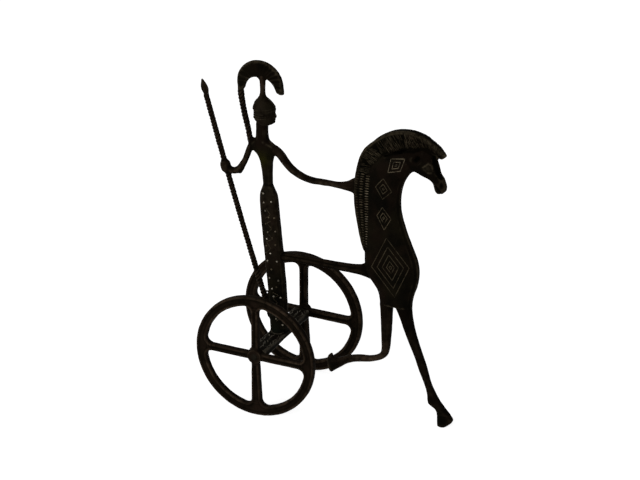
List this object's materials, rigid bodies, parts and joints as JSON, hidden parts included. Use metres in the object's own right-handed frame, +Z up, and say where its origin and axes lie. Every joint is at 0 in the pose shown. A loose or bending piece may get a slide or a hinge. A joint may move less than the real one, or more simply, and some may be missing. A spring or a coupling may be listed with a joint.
{
  "type": "chariot figurine",
  "caption": "Dark bronze table figure of a crested warrior with a spear on a two-wheeled chariot, arm reaching to a rearing horse's mane.",
  "frame": {"origin": "under the middle of the figure's bounding box, on the surface that the figure stands on", "axes": "+X from the chariot towards the horse's head, +Y along the axle towards the far wheel, +Z up"},
  "size_m": [0.2538, 0.1114, 0.328],
  "materials": {
    "dark_bronze": "dark brown patina, satin",
    "rubbed_bronze": "dark brown patina, rubbed on the high spots, satin",
    "green_bronze": "dark brown patina with green, matt"
  },
  "bodies": {
    "figure": {"axle_board": "green_bronze", "near_axle_rivet": "green_bronze", "far_axle_rivet": "green_bronze", "robe": "rubbed_bronze", "torso": "rubbed_bronze", "helmeted_head": "rubbed_bronze", "crest_stem": "dark_bronze", "crest_plume": "rubbed_bronze", "crest_tail": "dark_bronze", "rear_arm": "dark_bronze", "front_arm": "dark_bronze", "spear_shaft": "dark_bronze", "spear_head": "dark_bronze", "draught_bar": "dark_bronze", "horse_trunk": "rubbed_bronze", "horse_head": "rubbed_bronze", "horse_mane": "rubbed_bronze", "straight_foreleg": "dark_bronze", "folded_foreleg": "dark_bronze"},
    "near_wheel": {"near_wheel": "dark_bronze"},
    "far_wheel": {"far_wheel": "dark_bronze"}
  },
  "joints": [
    {"name": "near_wheel_spin", "type": "hinge", "parent": "figure", "child": "near_wheel", "pos_m": [-0.04775, -0.0505, 0.05917], "axis": [0, 1, 0], "continuous": true},
    {"name": "far_wheel_spin", "type": "hinge", "parent": "figure", "child": "far_wheel", "pos_m": [-0.04775, 0.0505, 0.05917], "axis": [0, 1, 0], "continuous": true}
  ]
}
